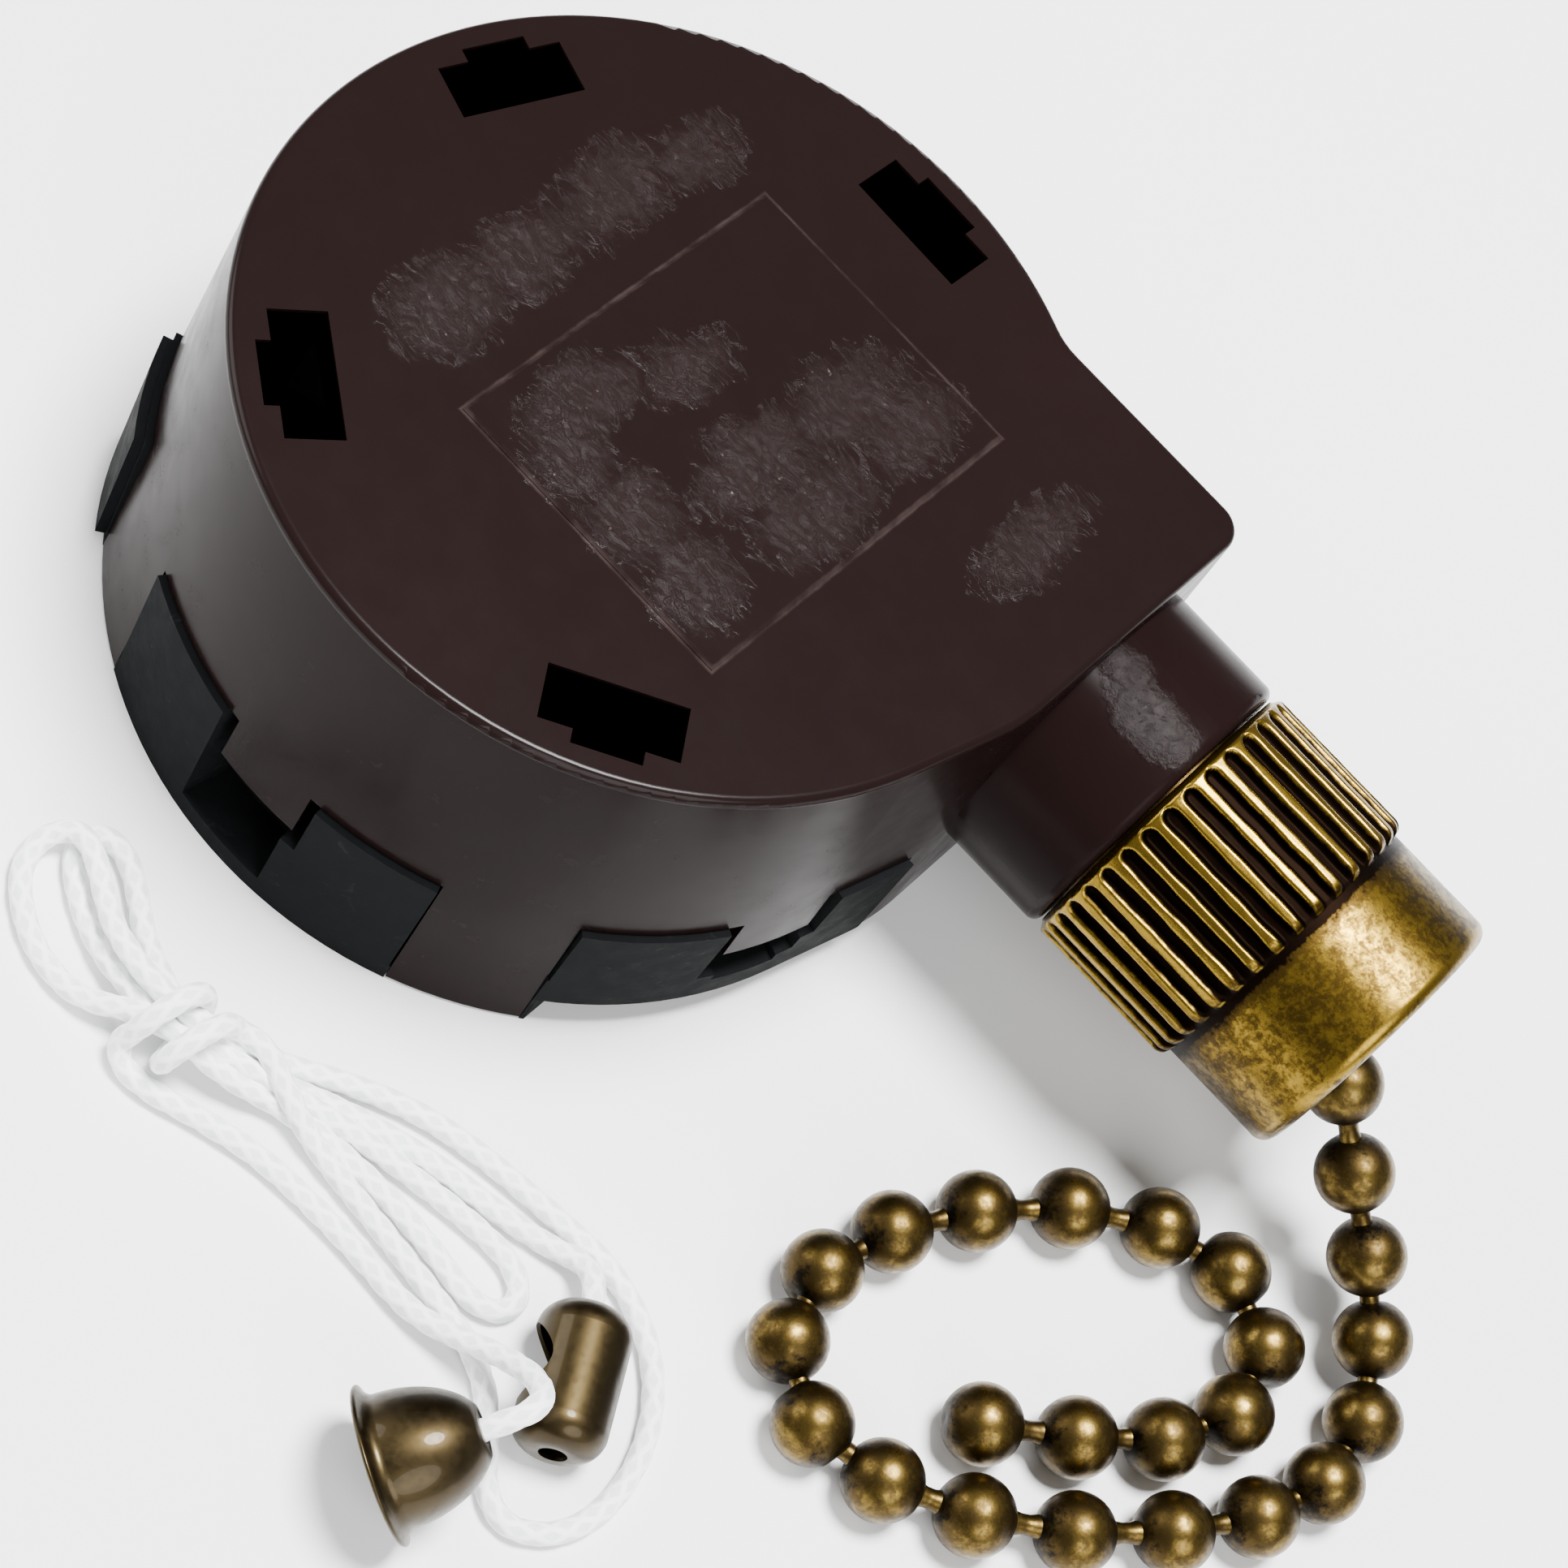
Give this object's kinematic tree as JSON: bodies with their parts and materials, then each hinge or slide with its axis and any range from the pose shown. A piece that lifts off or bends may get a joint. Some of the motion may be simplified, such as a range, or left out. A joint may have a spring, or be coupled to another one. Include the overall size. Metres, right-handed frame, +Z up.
{
  "type": "pull cord switch",
  "caption": "Round pull-chain rotary switch for a ceiling fan, with a knurled brass nut on its threaded neck, a ball chain and a clip-on extension cord.",
  "frame": {"origin": "centre of the base's flat bottom face, on the axis of the drum and the rotor", "axes": "+Z up out of the housing's cover face, +X along the neck, the way the chain leaves"},
  "size_m": [0.065, 0.0496, 0.0181],
  "materials": {
    "housing": "glossy dark reddish-brown moulding, scuffed in places",
    "base": "matt black-grey moulding, edges slightly chipped",
    "nipple": "dark antiqued brass",
    "antique_brass": "antiqued brass, polished on the ridges, dark brown in the grooves",
    "chain_brass": "antiqued brass beads, mottled gold and brown",
    "pin_steel": "bright turned steel",
    "drum": "natural nylon",
    "pawl": "natural acetal",
    "rotor": "dark red phenolic",
    "copper": "stamped copper alloy",
    "spring_steel": "blued strip steel",
    "white_cord": "white braided nylon cord",
    "bronze": "satin bronze, lacquered"
  },
  "bodies": {
    "housing": {"housing_cover": "housing", "base_plate": "base", "threaded_nipple": "nipple", "centre_pin": "pin_steel", "return_spring": "spring_steel", "detent_leaf": "spring_steel", "terminal_block_line": "base", "terminal_block_low": "base", "terminal_block_medium": "base", "terminal_block_high": "base", "terminal_line": "copper", "terminal_low": "copper", "terminal_medium": "copper", "terminal_high": "copper", "wire_clamp_line": "spring_steel", "wire_clamp_low": "spring_steel", "wire_clamp_medium": "spring_steel", "wire_clamp_high": "spring_steel"},
    "nut": {"knurled_nut": "antique_brass"},
    "chain": {"chain_lead": "chain_brass", "pull_chain": "chain_brass"},
    "drum": {"chain_drum": "drum", "chain_wrap": "chain_brass", "pawl_ring": "pawl"},
    "rotor": {"contact_rotor": "rotor", "rotor_contact": "copper"},
    "cord_set": {"bead_coupling": "bronze", "cord_bell": "bronze", "extension_cord": "white_cord"}
  },
  "joints": [
    {"name": "chain_pull", "type": "slide", "parent": "housing", "child": "chain", "axis": [1, 0, 0], "range_m": [0, 0.013], "stiffness_N_per_m": 120, "springref_m": -0.01},
    {"name": "drum_turn", "type": "hinge", "parent": "housing", "child": "drum", "pos_m": [0, 0, 0.0106], "axis": [0, 0, -1], "range_deg": [-2, 96], "deforming": ["return_spring"]},
    {"name": "rotor_turn", "type": "hinge", "parent": "housing", "child": "rotor", "pos_m": [0, 0, 0.0065], "axis": [0, 0, -1], "continuous": true},
    {"name": "nut_spin", "type": "hinge", "parent": "housing", "child": "nut", "pos_m": [0.0282, 0.00805, 0.0106], "axis": [1, 0, 0], "continuous": true},
    {"name": "cord_set_lift", "type": "slide", "parent": "housing", "child": "cord_set", "axis": [0, 0, 1], "range_m": [0, 0.03]}
  ],
  "couplings": [
    {"joint": "drum_turn", "follows": "chain_pull", "rad_per_m": 124.22}
  ]
}
